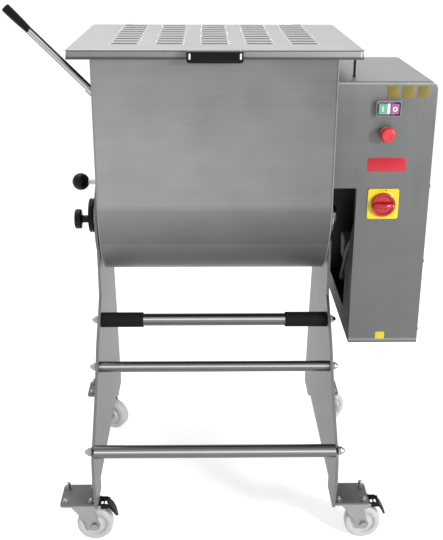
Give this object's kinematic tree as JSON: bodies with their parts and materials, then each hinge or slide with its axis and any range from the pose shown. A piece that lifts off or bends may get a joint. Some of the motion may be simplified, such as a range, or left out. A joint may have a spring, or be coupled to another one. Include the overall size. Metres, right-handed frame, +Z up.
{
  "type": "meat mixer",
  "caption": "Tilting single-shaft meat mixer: stainless trough with a slotted hinged lid and a side drive box on a wheeled two-leg stand.",
  "frame": {"origin": "centre of the bounding box at floor level, under the wheels", "axes": "+Z up, -Y towards the operator's front side, +X towards the drive box"},
  "size_m": [0.9075, 0.621, 1.1305],
  "materials": {
    "brushed_stainless_sheet": "fine brushed grain",
    "polished_stainless_bar": "bright ground and polished",
    "stainless_fittings": "satin",
    "zinc_plated_steel": "zinc plated, satin",
    "black_rubber": "matt",
    "black_phenolic": "polished",
    "black_plastic": "moulded",
    "white_nylon": "moulded, slightly waxy",
    "painted_aluminium_casting": "painted",
    "bearing_bronze": "machined",
    "grey_plastic": "moulded",
    "white_cable": "soft sheath",
    "clear_button_cover": "smooth",
    "green_plastic": "smooth",
    "red_plastic": "smooth",
    "yellow_plastic": "smooth"
  },
  "bodies": {
    "frame": {"left_leg": "brushed_stainless_sheet", "right_leg": "brushed_stainless_sheet", "rest_bar": "polished_stainless_bar", "middle_bar": "polished_stainless_bar", "foot_bar": "polished_stainless_bar", "bar_sleeves": "black_rubber", "bar_nuts": "stainless_fittings", "base_plates": "brushed_stainless_sheet", "castor_tops": "zinc_plated_steel", "castor_bolts": "stainless_fittings", "pivot_bushes": "stainless_fittings", "lock_housing": "polished_stainless_bar"},
    "tub": {"tub_trough": "brushed_stainless_sheet", "tub_ends": "brushed_stainless_sheet", "tub_rim": "brushed_stainless_sheet", "tub_hinges": "stainless_fittings", "lid_switch": "black_plastic", "pivot_stubs": "polished_stainless_bar", "lock_bushes": "polished_stainless_bar", "lever_socket": "polished_stainless_bar", "lever_tube": "polished_stainless_bar", "lever_grip": "black_phenolic", "shaft_bearings": "bearing_bronze", "drive_box": "brushed_stainless_sheet", "box_cover": "brushed_stainless_sheet", "cover_screws": "black_plastic", "gear_bracket": "zinc_plated_steel", "gearbox": "painted_aluminium_casting", "motor": "painted_aluminium_casting", "terminal_box": "grey_plastic", "motor_cable": "white_cable", "cable_gland": "black_plastic", "switch_blocks": "grey_plastic", "button_block": "clear_button_cover", "estop_collar": "yellow_plastic", "switch_plate": "yellow_plastic"},
    "lid": {"lid_panel": "brushed_stainless_sheet", "lid_handle": "black_phenolic", "lid_hinges": "stainless_fittings", "lid_tongue": "black_plastic"},
    "lock": {"lock_pin": "polished_stainless_bar", "lock_ball": "black_phenolic"},
    "clamp": {"clamp_wheel": "black_phenolic"},
    "clamp_knob": {"clamp_grip": "black_phenolic"},
    "paddle": {"paddle_shaft": "polished_stainless_bar", "paddle_blades": "polished_stainless_bar"},
    "start_cap": {"start_button": "green_plastic"},
    "stop_cap": {"stop_button": "red_plastic"},
    "stop_mushroom": {"estop_head": "red_plastic"},
    "dial": {"switch_dial": "red_plastic"},
    "fork_fl": {"fork_front_left": "zinc_plated_steel"},
    "fork_fr": {"fork_front_right": "zinc_plated_steel"},
    "fork_rl": {"fork_rear_left": "zinc_plated_steel"},
    "fork_rr": {"fork_rear_right": "zinc_plated_steel"},
    "wheel_fl": {"wheel_front_left": "white_nylon"},
    "wheel_fr": {"wheel_front_right": "white_nylon"},
    "wheel_rl": {"wheel_rear_left": "white_nylon"},
    "wheel_rr": {"wheel_rear_right": "white_nylon"},
    "brake_l": {"pedal_left": "black_plastic"},
    "brake_r": {"pedal_right": "black_plastic"}
  },
  "joints": [
    {"name": "tub_tilt", "type": "hinge", "parent": "frame", "child": "tub", "pos_m": [0.00419, 0.02053, 0.679], "axis": [1, 0, 0], "range_deg": [0, 90]},
    {"name": "lid_open", "type": "hinge", "parent": "tub", "child": "lid", "pos_m": [0.00419, 0.28653, 1.062], "axis": [-1, 0, 0], "range_deg": [0, 95]},
    {"name": "paddle_turn", "type": "hinge", "parent": "tub", "child": "paddle", "pos_m": [0.00419, 0.02053, 0.769], "axis": [1, 0, 0], "continuous": true},
    {"name": "lock_push", "type": "slide", "parent": "frame", "child": "lock", "axis": [1, 0, 0], "range_m": [0, 0.014]},
    {"name": "clamp_turn", "type": "hinge", "parent": "tub", "child": "clamp", "pos_m": [-0.26581, 0.02053, 0.679], "axis": [1, 0, 0], "continuous": true},
    {"name": "clamp_knob_turn", "type": "hinge", "parent": "clamp", "child": "clamp_knob", "pos_m": [-0.28581, -0.00647, 0.679], "axis": [1, 0, 0], "continuous": true},
    {"name": "start_press", "type": "slide", "parent": "tub", "child": "start_cap", "axis": [0, 1, 0], "range_m": [0, 0.003], "stiffness_N_per_m": 500},
    {"name": "stop_press", "type": "slide", "parent": "tub", "child": "stop_cap", "axis": [0, 1, 0], "range_m": [0, 0.003], "stiffness_N_per_m": 500},
    {"name": "stop_mushroom_press", "type": "slide", "parent": "tub", "child": "stop_mushroom", "axis": [0, 1, 0], "range_m": [0, 0.004]},
    {"name": "dial_turn", "type": "hinge", "parent": "tub", "child": "dial", "pos_m": [0.35419, -0.14447, 0.753], "axis": [0, 1, 0], "range_deg": [0, 90]},
    {"name": "swivel_fl", "type": "hinge", "parent": "frame", "child": "fork_fl", "pos_m": [-0.29581, -0.23647, 0.098], "axis": [0, 0, 1], "continuous": true},
    {"name": "roll_fl", "type": "hinge", "parent": "fork_fl", "child": "wheel_fl", "pos_m": [-0.26381, -0.23647, 0.04], "axis": [0, 1, 0], "continuous": true},
    {"name": "swivel_fr", "type": "hinge", "parent": "frame", "child": "fork_fr", "pos_m": [0.30419, -0.23647, 0.098], "axis": [0, 0, 1], "continuous": true},
    {"name": "roll_fr", "type": "hinge", "parent": "fork_fr", "child": "wheel_fr", "pos_m": [0.33619, -0.23647, 0.04], "axis": [0, 1, 0], "continuous": true},
    {"name": "swivel_rl", "type": "hinge", "parent": "frame", "child": "fork_rl", "pos_m": [-0.29581, 0.26253, 0.098], "axis": [0, 0, 1], "continuous": true},
    {"name": "roll_rl", "type": "hinge", "parent": "fork_rl", "child": "wheel_rl", "pos_m": [-0.26756, 0.24751, 0.04], "axis": [0.4695, 0.8829, 0], "continuous": true},
    {"name": "swivel_rr", "type": "hinge", "parent": "frame", "child": "fork_rr", "pos_m": [0.30419, 0.26253, 0.098], "axis": [0, 0, 1], "continuous": true},
    {"name": "roll_rr", "type": "hinge", "parent": "fork_rr", "child": "wheel_rr", "pos_m": [0.33103, 0.27996, 0.04], "axis": [-0.5446, 0.8387, 0], "continuous": true},
    {"name": "brake_l_press", "type": "hinge", "parent": "fork_fl", "child": "brake_l", "pos_m": [-0.25381, -0.23647, 0.0897], "axis": [0, 1, 0], "range_deg": [0, 8], "stiffness_Nm_per_rad": 1, "springref_deg": -5.73},
    {"name": "brake_r_press", "type": "hinge", "parent": "fork_fr", "child": "brake_r", "pos_m": [0.34619, -0.23647, 0.0897], "axis": [0, 1, 0], "range_deg": [0, 8], "stiffness_Nm_per_rad": 1, "springref_deg": -5.73}
  ]
}
